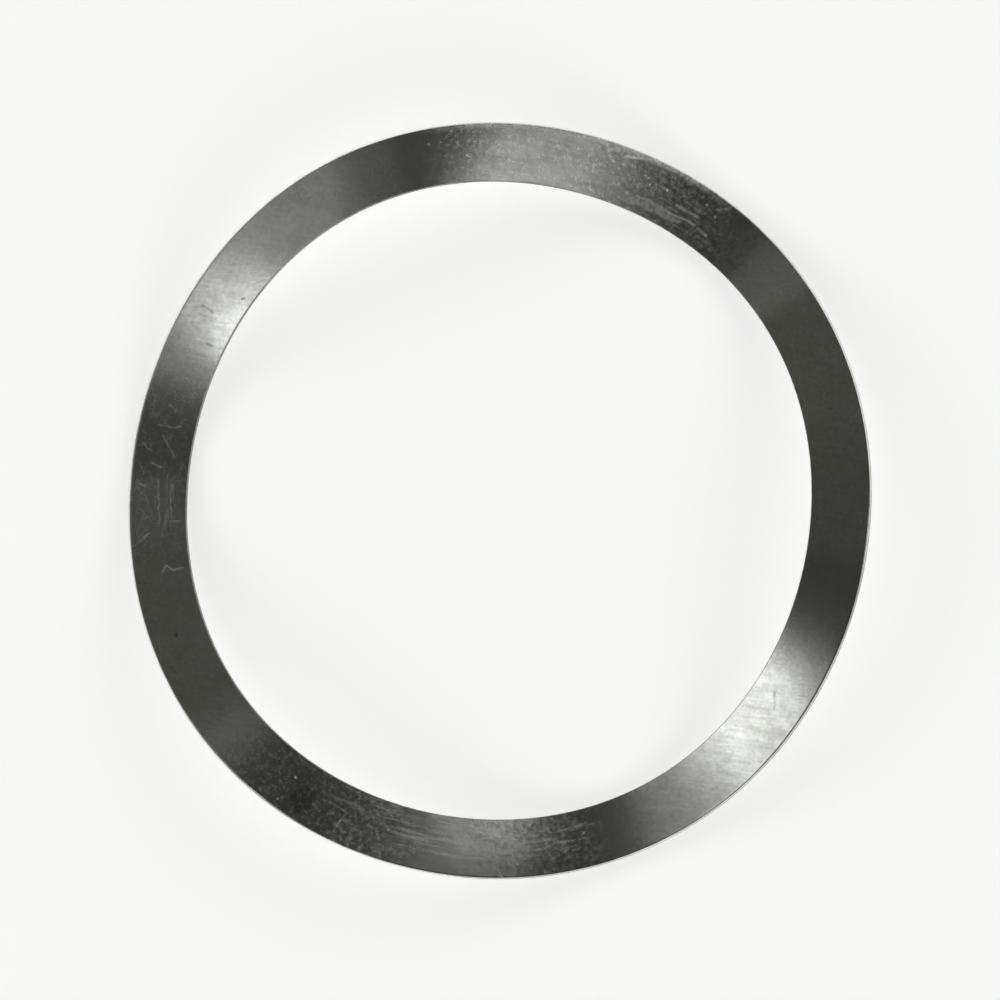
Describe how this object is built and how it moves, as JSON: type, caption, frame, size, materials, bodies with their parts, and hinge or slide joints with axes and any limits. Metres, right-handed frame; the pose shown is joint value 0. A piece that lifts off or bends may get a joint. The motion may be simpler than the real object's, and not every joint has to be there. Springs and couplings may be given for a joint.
{
  "type": "wave washer",
  "caption": "Thin steel ring pressed into waves that run round it, which acts as an axial spring between a shoulder and a part that it preloads.",
  "frame": {"origin": "on the washer's axis, in the plane of the low lines that it lies on", "axes": "+Z along the axis, from the low lines to the crests; +X through one crest"},
  "size_m": [0.0612, 0.0612, 0.0049],
  "materials": {
    "spring_steel": "satin"
  },
  "bodies": {
    "root": {"wave_washer": "spring_steel"}
  },
  "joints": []
}
